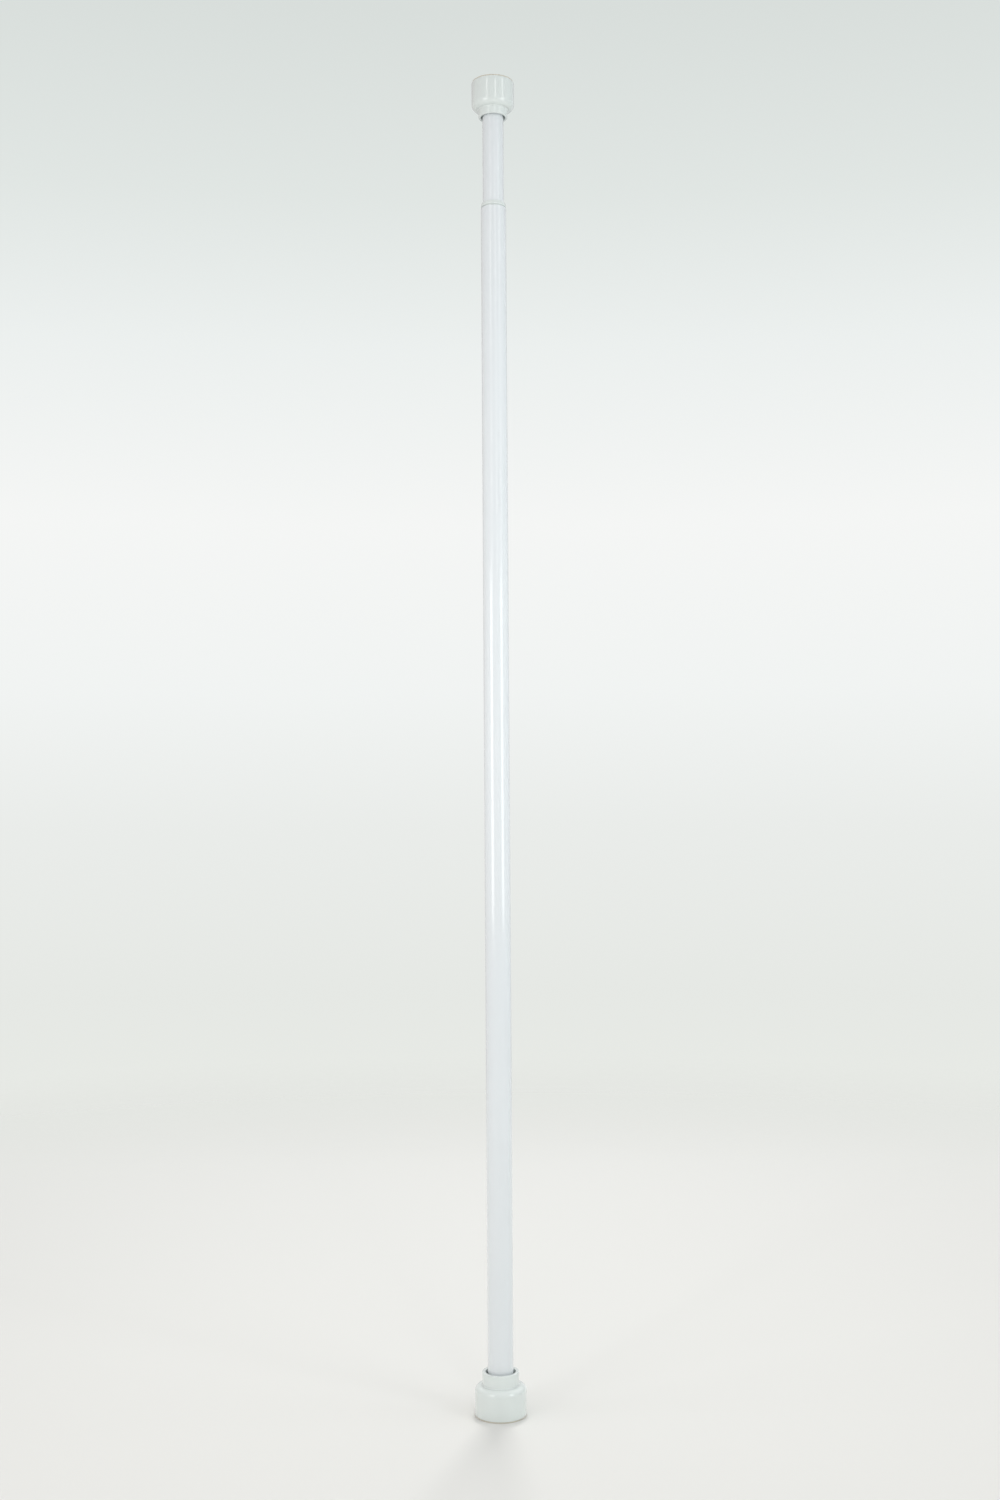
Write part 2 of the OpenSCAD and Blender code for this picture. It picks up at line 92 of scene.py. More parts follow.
def addMix(tree, share, first, second):
    node = addNode(tree, "ShaderNodeMix", {"Factor": share, 6: first, 7: second}, data_type="RGBA")
    return node.outputs[2]


def addRange(tree, value, low, high, outLow, outHigh):
    node = addNode(tree, "ShaderNodeMapRange", {"Value": value, "From Min": low, "From Max": high,
                                                "To Min": outLow, "To Max": outHigh})
    return node.outputs[0]


def addPlace(tree):
    return addNode(tree, "ShaderNodeTexCoord").outputs["Object"]


def addNoise(tree, place, scale, detail):
    node = addNode(tree, "ShaderNodeTexNoise", {"Vector": place, "Scale": scale, "Detail": detail})
    return node.outputs["Fac"]


# A color ramp whose stops are (value, color)
def addRamp(tree, value, stops):
    low, high = stops[0][0], stops[-1][0]
    ramp = addNode(tree, "ShaderNodeValToRGB", {"Fac": addRange(tree, value, low, high, 0.0, 1.0)})
    while len(ramp.color_ramp.elements) < len(stops):
        ramp.color_ramp.elements.new(0.5)
    for stop, (place, color) in zip(ramp.color_ramp.elements, stops):
        stop.position = (place - low) / (high - low)
        stop.color = (*color, 1)
    return ramp.outputs["Color"]


# Camera, level with the lower half of the rod and tipped up a little
cameraView = {"lens": 39.6, "sensor": 36, "aside": -0.0004, "distance": 1.6133, "height": 0.5661,
              "pitch": 2.603, "yaw": -0.125, "roll": -0.362}


def makeCamera():
    data = bpy.data.cameras.new("camera")
    data.lens = cameraView["lens"]
    data.sensor_width = cameraView["sensor"]
    camera = bpy.data.objects.new("camera", data)
    scene.collection.objects.link(camera)
    place = Matrix.Translation((cameraView["aside"], -cameraView["distance"], cameraView["height"]))
    turn = Matrix.Rotation(radians(cameraView["yaw"]), 4, "Z")
    tip = Matrix.Rotation(radians(90 + cameraView["pitch"]), 4, "X")
    roll = Matrix.Rotation(radians(cameraView["roll"]), 4, "Z")
    camera.matrix_world = place @ turn @ tip @ roll
    scene.camera = camera


# Upright strips, which draw fine lines down the gloss
strip = {"height": 1.84, "distance": 1.9, "size": (0.13, 1.2), "glow": 3.3, "aim": 1.1,
         "color": (1.0, 1.0, 0.98)}
# Softboxes stand round the rod; azimuth 0 is the camera's side, and right is positive. Glow is how bright
# the box looks, spread its beam in degrees, and aim the height it points at, by default the rod's middle.
# One that isn't mirrored lights the rod but leaves no reflection
softboxes = {
    "left_box": {"azimuth": -43, "height": 0.74, "distance": 1.6, "size": (0.66, 0.84), "glow": 2.7,
                 "color": (1.0, 0.99, 0.99)},
    "right_box": {"azimuth": 50, "height": 0.74, "distance": 1.6, "size": (0.62, 0.84), "glow": 2.6,
                  "color": (0.97, 1.0, 1.0)},
    "front_fill": {"azimuth": 8, "height": 0.78, "distance": 1.8, "size": (1.2, 0.5), "glow": 0.68,
                   "spread": 70, "aim": 0.78, "mirrored": False, "color": (0.98, 1.0, 1.0)},
    "left_fill": {"azimuth": -76, "height": 0.78, "distance": 1.7, "size": (0.8, 0.5), "glow": 1.15,
                  "spread": 80, "aim": 0.78, "mirrored": False, "color": (1.0, 1.0, 1.0)},
    "right_fill": {"azimuth": 84, "height": 0.88, "distance": 1.7, "size": (0.8, 0.5), "glow": 1.0,
                   "spread": 80, "aim": 0.88, "mirrored": False, "color": (0.97, 1.0, 1.0)},
    "left_strip": {"azimuth": -32, **strip},
    "middle_strip": {"azimuth": 14, **strip},
    "right_strip": {"azimuth": 54, **strip},
    "back_lamp": {"azimuth": 174, "height": 2.6, "distance": 1.1, "size": (0.5, 0.35), "glow": 40.0,
                  "aim": 0.0, "mirrored": False, "color": (1.0, 0.99, 0.97)},
}


def makeSoftbox(name, box):
    data = bpy.data.lights.new(name, "AREA")
    data.shape = "RECTANGLE"
    data.size, data.size_y = box["size"]
    data.color = box["color"]
    data.energy = box["glow"] * pi * data.size * data.size_y
    data.spread = radians(box.get("spread", 180))
    light = bpy.data.objects.new(name, data)
    scene.collection.objects.link(light)
    turn = radians(box["azimuth"])
    light.location = (sin(turn) * box["distance"], -cos(turn) * box["distance"], box["height"])
    middle = Vector((0, 0, box.get("aim", cadBox[1].z / 2)))
    light.rotation_euler = (middle - light.location).to_track_quat("-Z", "Y").to_euler()
    light.visible_camera = False
    light.visible_glossy = box.get("mirrored", True)


# What the camera sees behind the rod, from low to high, as (sine of the elevation, color)
backdrop = [(-0.50, (0.83, 0.85, 0.81)), (-0.20, (0.81, 0.83, 0.79)), (-0.10, (0.79, 0.81, 0.78)),
            (0.00, (0.82, 0.84, 0.82)), (0.08, (0.88, 0.90, 0.89)), (0.18, (0.91, 0.92, 0.91)),
            (0.28, (0.84, 0.87, 0.86)), (0.36, (0.75, 0.79, 0.77)), (0.45, (0.69, 0.73, 0.71))]
# What lights the rod: warmer and dimmer from the left, and stronger from behind and from above. Ways run
# from the front to the back, and levels from straight down to straight up
roomLight = {"left": (0.530, 0.512, 0.503), "right": (0.585, 0.614, 0.626),
             "ways": [(-1.0, 0.95), (0.0, 1.08), (0.5, 1.12), (1.0, 1.25)],
             "levels": [(-1.0, 0.70), (0.0, 0.93), (0.45, 0.82), (0.70, 0.95), (1.0, 1.75)]}


def makeWorld():
    world = bpy.data.worlds.new("studio")
    scene.world = world
    world.use_nodes = True
    tree = world.node_tree
    tree.nodes.clear()
    way = addNode(tree, "ShaderNodeTexCoord").outputs["Generated"]
    axes = addNode(tree, "ShaderNodeSeparateXYZ", {0: way})
    tones = addRamp(tree, axes.outputs["Z"], backdrop)
    levels = addRamp(tree, axes.outputs["Z"], [(z, (level,) * 3) for z, level in roomLight["levels"]])
    side = addRange(tree, axes.outputs["X"], -1.0, 1.0, 0.0, 1.0)
    tint = addMix(tree, side, (*roomLight["left"], 1), (*roomLight["right"], 1))
    ways = addRamp(tree, axes.outputs["Y"], [(y, (level,) * 3) for y, level in roomLight["ways"]])
    level = addMath(tree, "MULTIPLY", ways, levels)
    seen = addNode(tree, "ShaderNodeBackground", {"Color": tones})
    lit = addNode(tree, "ShaderNodeBackground", {"Color": tint, "Strength": level})
    ray = addNode(tree, "ShaderNodeLightPath").outputs["Is Camera Ray"]
    both = addNode(tree, "ShaderNodeMixShader", {0: ray, 1: lit.outputs[0], 2: seen.outputs[0]})
    addNode(tree, "ShaderNodeOutputWorld", {"Surface": both.outputs[0]})


# Round floor that thins out into the backdrop. Its colour is painted light: paler behind the rod and darker
# near the camera, evening out the lamps, which light the near floor more than the far
floorLook = {"radius": 5.0, "solid": 0.9, "gone": 2.5, "segments": 96, "near": (0.688, 0.683, 0.660),
             "far": (0.80, 0.80, 0.78), "nearY": -0.5, "farY": 1.2, "mottle": 0.03, "mottleScale": 2.5}


def makeFloor():
    mesh = bpy.data.meshes.new("floor")
    shape = bmesh.new()
    bmesh.ops.create_circle(shape, cap_ends=True, segments=floorLook["segments"], radius=floorLook["radius"])
    shape.to_mesh(mesh)
    shape.free()
    floor = bpy.data.objects.new("floor", mesh)
    scene.collection.objects.link(floor)
    material = bpy.data.materials.new("floorPaper")
    material.use_nodes = True
    tree = material.node_tree
    tree.nodes.clear()
    place = addPlace(tree)
    cloud = addNoise(tree, place, floorLook["mottleScale"], 3.0)
    # Painted light: the floor's colour runs from darker near the camera to paler behind the rod, against the
    # lamps' fall-off; the mottle is the paper's own
    depth = addNode(tree, "ShaderNodeSeparateXYZ", {0: place}).outputs["Y"]
    share = addRange(tree, depth, floorLook["nearY"], floorLook["farY"], 0.0, 1.0)
    mottled = addMath(tree, "MULTIPLY_ADD", cloud, floorLook["mottle"], share)
    paperAndPaintedLight = addMix(tree, mottled, (*floorLook["near"], 1), (*floorLook["far"], 1))
    skin = addNode(tree, "ShaderNodeBsdfDiffuse", {"Color": paperAndPaintedLight})
    away = addNode(tree, "ShaderNodeVectorMath", {0: place}, operation="LENGTH").outputs["Value"]
    thin = addNode(tree, "ShaderNodeMapRange", {
        "Value": away, "From Min": floorLook["solid"], "From Max": floorLook["gone"]},
        interpolation_type="SMOOTHSTEP")
    clear = addNode(tree, "ShaderNodeBsdfTransparent")
    faded = addNode(tree, "ShaderNodeMixShader", {0: thin.outputs[0], 1: skin.outputs[0],
                                                  2: clear.outputs[0]})
    addNode(tree, "ShaderNodeOutputMaterial", {"Surface": faded.outputs[0]})
    mesh.materials.append(material)


makeCamera()
makeWorld()
makeFloor()
for boxName, boxLook in softboxes.items():
    makeSoftbox(boxName, boxLook)
scene.view_settings.view_transform = "Standard"
print("camera, light and floor ready")


# Shader groups that several finishes share
def newShaderGroup(name, inputs, outputs):
    tree = bpy.data.node_groups.new(name, "ShaderNodeTree")
    for label, value in inputs.items():
        socket = tree.interface.new_socket(label, in_out="INPUT", socket_type="NodeSocketFloat")
        socket.default_value = value
    for label in outputs:
        tree.interface.new_socket(label, in_out="OUTPUT", socket_type="NodeSocketFloat")
    return tree, addNode(tree, "NodeGroupInput").outputs


# Two sizes of waviness for the height, and a slow cloud for the tone
def makeGrainGroup():
    tree, given = newShaderGroup("surfaceGrain", {
        "Coarse Scale": 700.0, "Fine Scale": 2500.0, "Fine Share": 0.3, "Cloud Scale": 30.0,
        "Stretch": 1.0}, ["Height", "Cloud"])
    place = addPlace(tree)
    slim = addNode(tree, "ShaderNodeCombineXYZ", {"X": 1.0, "Y": 1.0, "Z": given["Stretch"]})
    drawn = addNode(tree, "ShaderNodeVectorMath", {0: place, 1: slim.outputs[0]}, operation="MULTIPLY")
    coarse = addNoise(tree, drawn.outputs[0], given["Coarse Scale"], 1.0)
    fine = addNoise(tree, drawn.outputs[0], given["Fine Scale"], 2.0)
    cloud = addNoise(tree, place, given["Cloud Scale"], 3.0)
    height = addNode(tree, "ShaderNodeMix", {0: given["Fine Share"], 2: coarse, 3: fine}).outputs[0]
    addNode(tree, "NodeGroupOutput", {"Height": height, "Cloud": cloud})
    return tree


# Specks of dust, and a patchy film of it on what faces up
def makeDustGroup():
    tree, given = newShaderGroup("dustFall", {
        "Speck Scale": 900.0, "Speck Size": 0.16, "Rarity": 0.93, "Film": 0.3, "Film Slope": 0.2,
        "Patch Scale": 140.0}, ["Mask"])
    place = addPlace(tree)
    cell = addNode(tree, "ShaderNodeTexVoronoi", {"Vector": place, "Scale": given["Speck Scale"]})
    dot = addMath(tree, "LESS_THAN", cell.outputs["Distance"], given["Speck Size"])
    chosen = addNode(tree, "ShaderNodeSeparateColor", {0: cell.outputs["Color"]}).outputs[0]
    rare = addMath(tree, "GREATER_THAN", chosen, given["Rarity"])
    specks = addMath(tree, "MULTIPLY", dot, rare)
    normal = addNode(tree, "ShaderNodeNewGeometry").outputs["Normal"]
    upwards = addNode(tree, "ShaderNodeSeparateXYZ", {0: normal}).outputs["Z"]
    lying = addRange(tree, upwards, given["Film Slope"], 1.0, 0.0, 1.0)
    settled = addMath(tree, "MULTIPLY", lying, given["Film"])
    film = addMath(tree, "MULTIPLY", settled, addNoise(tree, place, given["Patch Scale"], 4.0))
    mask = addMath(tree, "ADD", film, specks, clamp=True)
    addNode(tree, "NodeGroupOutput", {"Mask": mask})
    return tree


# Rubbed edges: where the surface bulges, broken up by noise
def makeWearGroup():
    tree, given = newShaderGroup("rubbedEdge", {
        "Low": 0.52, "High": 0.62, "Break Up": 400.0, "Patch Low": 0.42, "Patch High": 0.62}, ["Mask"])
    bulge = addNode(tree, "ShaderNodeNewGeometry").outputs["Pointiness"]
    edge = addRange(tree, bulge, given["Low"], given["High"], 0.0, 1.0)
    worn = addNoise(tree, addPlace(tree), given["Break Up"], 3.0)
    patch = addRange(tree, worn, given["Patch Low"], given["Patch High"], 0.0, 1.0)
    addNode(tree, "NodeGroupOutput", {"Mask": addMath(tree, "MULTIPLY", edge, patch, clamp=True)})
    return tree


grainGroup, dustGroup, wearGroup = makeGrainGroup(), makeDustGroup(), makeWearGroup()


cloudSpan = (0.3, 0.7)  # where most of a noise cloud's values lie
dustRoughness = 0.3  # how much rougher the dust makes a surface


# A finish has two close tones, grain in its bump, dust and rubbed edges; a material adds what is its own
def startFinish(name, look):
    material = bpy.data.materials.new(name)
    material.use_nodes = True
    tree = material.node_tree
    tree.nodes.clear()
    grain = addNode(tree, "ShaderNodeGroup", look["grain"], node_tree=grainGroup).outputs
    dust = addNode(tree, "ShaderNodeGroup", look["dust"], node_tree=dustGroup).outputs
    wear = addNode(tree, "ShaderNodeGroup", look["wear"], node_tree=wearGroup).outputs
    parts = {
        "tone": addMix(tree, grain["Cloud"], (*look["tone"], 1), (*look["toneTwo"], 1)),
        "rough": addRange(tree, grain["Cloud"], *cloudSpan, *look["roughness"]),
        "height": grain["Height"], "dust": dust["Mask"], "wear": wear["Mask"],
    }
    return material, tree, parts


def endFinish(material, tree, look, parts):
    rubbed = addMath(tree, "MULTIPLY", parts["wear"], look["wearAmount"])
    dusted = addMath(tree, "MULTIPLY", parts["dust"], look["dustAmount"])
    color = addMix(tree, rubbed, parts["tone"], (*look["wearTone"], 1))
    color = addMix(tree, dusted, color, (*look["dustTone"], 1))
    rougher = addMath(tree, "MULTIPLY", dusted, dustRoughness)
    rough = addMath(tree, "ADD", parts["rough"], rougher, clamp=True)
    bump = addNode(tree, "ShaderNodeBump", {"Strength": look["bump"], "Distance": look["bumpDepth"] * mm,
                                            "Height": parts["height"]})
    surface = addNode(tree, "ShaderNodeBsdfPrincipled", {"Base Color": color, "Roughness": rough,
                                                         "Normal": bump.outputs["Normal"], **look["plain"]})
    addNode(tree, "ShaderNodeOutputMaterial", {"Surface": surface.outputs[0]})
    return material


# Gloss powder coat over steel: orange peel and faint draw lines along the tube
tubeCoatLook = {
    "tone": (0.740, 0.772, 0.790), "toneTwo": (0.725, 0.758, 0.778), "roughness": (0.10, 0.15),
    "grain": {"Coarse Scale": 620.0, "Fine Scale": 2600.0, "Fine Share": 0.25, "Cloud Scale": 18.0,
              "Stretch": 0.7},
    "dust": {"Speck Scale": 600.0, "Speck Size": 0.10, "Film": 0.0}, "dustTone": (0.62, 0.61, 0.58),
    "wear": {"Low": 0.53, "High": 0.66}, "wearTone": (0.60, 0.61, 0.63), "wearAmount": 0.35,
    "dustAmount": 0.5, "bump": 0.25, "bumpDepth": 0.02,
    "drawScale": 900.0, "drawStretch": 0.004, "drawShare": 0.12,
    "plain": {"IOR": 1.5, "Coat Weight": 0.8, "Coat Roughness": 0.12},
}


def makeTubeCoat():
    look = tubeCoatLook
    material, tree, parts = startFinish("tubeCoat", look)
    slim = addNode(tree, "ShaderNodeMapping", {"Vector": addPlace(tree),
                                               "Scale": (1, 1, look["drawStretch"])})
    lines = addNoise(tree, slim.outputs[0], look["drawScale"], 2.0)
    drawn = addMath(tree, "MULTIPLY", lines, look["drawShare"])
    parts["height"] = addMath(tree, "ADD", parts["height"], drawn)
    return endFinish(material, tree, look, parts)


# Glossy moulded plastic: slow flow marks and a little fine grain
cupPlasticLook = {
    "tone": (0.702, 0.748, 0.730), "toneTwo": (0.690, 0.737, 0.718), "roughness": (0.09, 0.14),
    "grain": {"Coarse Scale": 160.0, "Fine Scale": 1800.0, "Fine Share": 0.12, "Cloud Scale": 45.0},
    "dust": {"Speck Scale": 520.0, "Speck Size": 0.11, "Film": 0.12}, "dustTone": (0.60, 0.58, 0.53),
    "wear": {"Low": 0.54, "High": 0.70}, "wearTone": (0.66, 0.68, 0.66), "wearAmount": 0.3,
    "dustAmount": 0.5, "bump": 0.2, "bumpDepth": 0.03,
    "plain": {"IOR": 1.5, "Coat Weight": 0.8, "Coat Roughness": 0.06},
}


def makeCupPlastic():
    material, tree, parts = startFinish("cupPlastic", cupPlasticLook)
    return endFinish(material, tree, cupPlasticLook, parts)


# Soft matt pad: pores and a dusty film
padSoftLook = {
    "tone": (0.62, 0.585, 0.50), "toneTwo": (0.57, 0.54, 0.455), "roughness": (0.68, 0.82),
    "grain": {"Coarse Scale": 900.0, "Fine Scale": 3200.0, "Fine Share": 0.5, "Cloud Scale": 90.0},
    "dust": {"Speck Scale": 700.0, "Speck Size": 0.22, "Film": 0.35}, "dustTone": (0.50, 0.48, 0.44),
    "wear": {"Low": 0.52, "High": 0.60}, "wearTone": (0.52, 0.50, 0.44), "wearAmount": 0.5,
    "dustAmount": 0.7, "bump": 0.6, "bumpDepth": 0.08,
    "poreScale": 1500.0, "poreSize": 0.35, "poreShare": 0.6,
    "plain": {"IOR": 1.45, "Specular IOR Level": 0.3},
}


def makePadSoft():
    look = padSoftLook
    material, tree, parts = startFinish("padSoft", look)
    pores = addNode(tree, "ShaderNodeTexVoronoi", {"Vector": addPlace(tree), "Scale": look["poreScale"]})
    dip = addRange(tree, pores.outputs["Distance"], 0.0, look["poreSize"], 0.0, look["poreShare"])
    parts["height"] = addMath(tree, "ADD", parts["height"], dip)
    return endFinish(material, tree, look, parts)


# Natural nylon: waxy, off-white
nylonNaturalLook = {
    "tone": (0.70, 0.68, 0.58), "toneTwo": (0.66, 0.63, 0.53), "roughness": (0.36, 0.46),
    "grain": {"Coarse Scale": 500.0, "Fine Scale": 2400.0, "Fine Share": 0.4, "Cloud Scale": 120.0},
    "dust": {"Speck Scale": 800.0, "Speck Size": 0.12, "Film": 0.1}, "dustTone": (0.36, 0.34, 0.31),
    "wear": {"Low": 0.53, "High": 0.64}, "wearTone": (0.76, 0.74, 0.66), "wearAmount": 0.5,
    "dustAmount": 0.5, "bump": 0.35, "bumpDepth": 0.04,
    "plain": {"IOR": 1.53},
}


def makeNylonNatural():
    material, tree, parts = startFinish("nylonNatural", nylonNaturalLook)
    return endFinish(material, tree, nylonNaturalLook, parts)


# Black nylon: short glass fibres show as pale flecks
nylonBlackLook = {
    "tone": (0.030, 0.030, 0.032), "toneTwo": (0.042, 0.042, 0.045), "roughness": (0.42, 0.55),
    "grain": {"Coarse Scale": 600.0, "Fine Scale": 3000.0, "Fine Share": 0.5, "Cloud Scale": 150.0},
    "dust": {"Speck Scale": 900.0, "Speck Size": 0.12, "Film": 0.15}, "dustTone": (0.22, 0.21, 0.20),
    "wear": {"Low": 0.53, "High": 0.62}, "wearTone": (0.10, 0.10, 0.11), "wearAmount": 0.6,
    "dustAmount": 0.5, "bump": 0.4, "bumpDepth": 0.05, "fibreScale": 2200.0, "fibreStretch": 0.25,
    "fibreSpan": (0.62, 0.70), "fibreShare": 0.12, "fibreTone": (0.12, 0.12, 0.13),
    "plain": {"IOR": 1.53},
}


def makeNylonBlack():
    look = nylonBlackLook
    material, tree, parts = startFinish("nylonBlack", look)
    slim = addNode(tree, "ShaderNodeMapping", {"Vector": addPlace(tree),
                                               "Scale": (1, 1, look["fibreStretch"])})
    flecks = addNoise(tree, slim.outputs[0], look["fibreScale"], 1.0)
    shown = addRange(tree, flecks, *look["fibreSpan"], 0.0, look["fibreShare"])
    parts["tone"] = addMix(tree, shown, parts["tone"], (*look["fibreTone"], 1))
    return endFinish(material, tree, look, parts)


# Bright zinc plate: satin grain and a faint blue cast
zincSteelLook = {
    "tone": (0.56, 0.59, 0.62), "toneTwo": (0.50, 0.52, 0.54), "roughness": (0.26, 0.38),
    "grain": {"Coarse Scale": 900.0, "Fine Scale": 4200.0, "Fine Share": 0.5, "Cloud Scale": 220.0},
    "dust": {"Speck Scale": 1000.0, "Speck Size": 0.12, "Film": 0.1}, "dustTone": (0.28, 0.27, 0.25),
    "wear": {"Low": 0.53, "High": 0.62}, "wearTone": (0.72, 0.72, 0.70), "wearAmount": 0.7,
    "dustAmount": 0.4, "bump": 0.3, "bumpDepth": 0.02,
    "plain": {"IOR": 1.5, "Metallic": 1.0},
}


def makeZincSteel():
    material, tree, parts = startFinish("zincSteel", zincSteelLook)
    return endFinish(material, tree, zincSteelLook, parts)


# Oiled spring wire: dark, with straw heat tints along the coil
springSteelLook = {
    "tone": (0.22, 0.23, 0.25), "toneTwo": (0.17, 0.17, 0.18), "roughness": (0.28, 0.42),
    "grain": {"Coarse Scale": 1100.0, "Fine Scale": 5200.0, "Fine Share": 0.5, "Cloud Scale": 160.0},
    "dust": {"Speck Scale": 1100.0, "Speck Size": 0.10, "Film": 0.1}, "dustTone": (0.14, 0.13, 0.12),
    "wear": {"Low": 0.53, "High": 0.62}, "wearTone": (0.40, 0.40, 0.40), "wearAmount": 0.4,
    "dustAmount": 0.4, "bump": 0.3, "bumpDepth": 0.02,
    "heatTone": (0.30, 0.24, 0.16), "heatScale": 60.0, "heatSpan": (0.45, 0.75), "heatShare": 0.6,
    "plain": {"IOR": 1.5, "Metallic": 1.0},
}


def makeSpringSteel():
    look = springSteelLook
    material, tree, parts = startFinish("springSteel", look)
    heat = addNoise(tree, addPlace(tree), look["heatScale"], 2.0)
    straw = addRange(tree, heat, *look["heatSpan"], 0.0, look["heatShare"])
    parts["tone"] = addMix(tree, straw, parts["tone"], (*look["heatTone"], 1))
    return endFinish(material, tree, look, parts)


finishes = {
    "tube_coat": makeTubeCoat(), "cup_plastic": makeCupPlastic(), "pad_soft": makePadSoft(),
    "nylon_natural": makeNylonNatural(), "nylon_black": makeNylonBlack(), "zinc_steel": makeZincSteel(),
    "spring_steel": makeSpringSteel(),
}
print("finishes ready:", len(finishes))


# Geometry trees
def newGrowthTree(name, inputs):
    tree = bpy.data.node_groups.new(name, "GeometryNodeTree")
    tree.interface.new_socket("Geometry", in_out="INPUT", socket_type="NodeSocketGeometry")
    for label, kind in inputs.items():
        tree.interface.new_socket(label, in_out="INPUT", socket_type="NodeSocket" + kind)
    tree.interface.new_socket("Material", in_out="INPUT", socket_type="NodeSocketMaterial")
    tree.interface.new_socket("Geometry", in_out="OUTPUT", socket_type="NodeSocketGeometry")
    return tree, addNode(tree, "NodeGroupInput").outputs


def endGrowthTree(tree, given, shape):
    real = addNode(tree, "GeometryNodeRealizeInstances", {"Geometry": shape})
    skinned = addNode(tree, "GeometryNodeSetMaterial", {"Geometry": real.outputs[0],
                                                        "Material": given["Material"]})
    addNode(tree, "NodeGroupOutput", {"Geometry": skinned.outputs[0]})
    return tree


turnRadius = 0.01  # radius of the ring that an outline is swept round


# Sweeps a closed outline round the axis
def makeTurningTree():
    tree, given = newGrowthTree("turnedOutline", {"Segments": "Int"})
    outline = addNode(tree, "GeometryNodeMeshToCurve", {"Mesh": given["Geometry"]})
    ring = addNode(tree, "GeometryNodeCurvePrimitiveCircle", {"Resolution": given["Segments"],
                                                              "Radius": turnRadius})
    swept = addNode(tree, "GeometryNodeCurveToMesh", {"Curve": ring.outputs["Curve"],
                                                      "Profile Curve": outline.outputs["Curve"]})
    closed = addNode(tree, "GeometryNodeMergeByDistance", {"Geometry": swept.outputs["Mesh"],
                                                           "Distance": weldGap})
    return endGrowthTree(tree, given, closed.outputs[0])


# Repeats one shape round the axis
def makeRoundTree():
    tree, given = newGrowthTree("repeatedRound", {"Count": "Int", "First Angle": "Float"})
    points = addNode(tree, "GeometryNodeMeshLine", {"Count": given["Count"], "Offset": (0, 0, 0)})
    index = addNode(tree, "GeometryNodeInputIndex").outputs[0]
    step = addMath(tree, "DIVIDE", 2 * pi, given["Count"])
    angle = addMath(tree, "MULTIPLY_ADD", index, step, given["First Angle"])
    turn = addNode(tree, "ShaderNodeCombineXYZ", {"Z": angle})
    copies = addNode(tree, "GeometryNodeInstanceOnPoints", {
        "Points": points.outputs[0], "Rotation": turn.outputs[0], "Instance": given["Geometry"]})
    return endGrowthTree(tree, given, copies.outputs[0])


leastThin = 1e-6  # a wire's thinned share is at least this, because it divides
leastWire = 0.02  # share of the wire's radius that is left at a thinned end


# Sweeps wire along a helix whose end turns may lie closed; the wire may thin out at both ends
def makeHelixTree():
    tree, given = newGrowthTree("wireHelix", {
        "Turns": "Float", "Steps": "Int", "Radius": "Float", "Rise": "Float", "Closed Turns": "Float",
        "Wire Radius": "Float", "Wire Sides": "Int", "Thin Share": "Float"})
    line = addNode(tree, "GeometryNodeCurvePrimitiveLine")
    path = addNode(tree, "GeometryNodeResampleCurve", {"Curve": line.outputs[0], "Count": given["Steps"]})
    share = addNode(tree, "GeometryNodeSplineParameter").outputs["Factor"]
    turns = addMath(tree, "MULTIPLY", share, given["Turns"])
    angle = addMath(tree, "MULTIPLY", turns, 2 * pi)
    shut = given["Closed Turns"]
    wire = addMath(tree, "MULTIPLY", given["Wire Radius"], 2.0)
    openTurns = addMath(tree, "SUBTRACT", given["Turns"], addMath(tree, "MULTIPLY", shut, 2.0))
    shutRise = addMath(tree, "MULTIPLY", addMath(tree, "MULTIPLY", shut, 2.0), wire)
    pitch = addMath(tree, "DIVIDE", addMath(tree, "SUBTRACT", given["Rise"], shutRise), openTurns)
    first = addMath(tree, "MINIMUM", turns, shut)
    lastShut = addMath(tree, "ADD", shut, openTurns)
    past = addMath(tree, "MAXIMUM", addMath(tree, "SUBTRACT", turns, lastShut), 0.0)
    middle = addMath(tree, "SUBTRACT", addMath(tree, "SUBTRACT", turns, first), past)
    closedPart = addMath(tree, "MULTIPLY", addMath(tree, "ADD", first, past), wire)
    height = addMath(tree, "MULTIPLY_ADD", middle, pitch, closedPart)
    sideX = addMath(tree, "MULTIPLY", addMath(tree, "COSINE", angle), given["Radius"])
    sideY = addMath(tree, "MULTIPLY", addMath(tree, "SINE", angle), given["Radius"])
    spot = addNode(tree, "ShaderNodeCombineXYZ", {"X": sideX, "Y": sideY, "Z": height}).outputs[0]
    coil = addNode(tree, "GeometryNodeSetPosition", {"Geometry": path.outputs[0], "Position": spot})
    upright = addNode(tree, "GeometryNodeSetCurveNormal", {"Curve": coil.outputs[0]}, mode="Z_UP")
    nearEnd = addMath(tree, "MINIMUM", share, addMath(tree, "SUBTRACT", 1.0, share))
    thinShare = addMath(tree, "MAXIMUM", given["Thin Share"], leastThin)
    thick = addMath(tree, "DIVIDE", nearEnd, thinShare, clamp=True)
    section = addNode(tree, "GeometryNodeCurvePrimitiveCircle", {"Resolution": given["Wire Sides"],
                                                                 "Radius": given["Wire Radius"]})
    swept = addNode(tree, "GeometryNodeCurveToMesh", {
        "Curve": upright.outputs[0], "Profile Curve": section.outputs["Curve"],
        "Scale": addMath(tree, "MAXIMUM", thick, leastWire), "Fill Caps": True})
    return endGrowthTree(tree, given, swept.outputs[0])


turningTree, roundTree, helixTree = makeTurningTree(), makeRoundTree(), makeHelixTree()


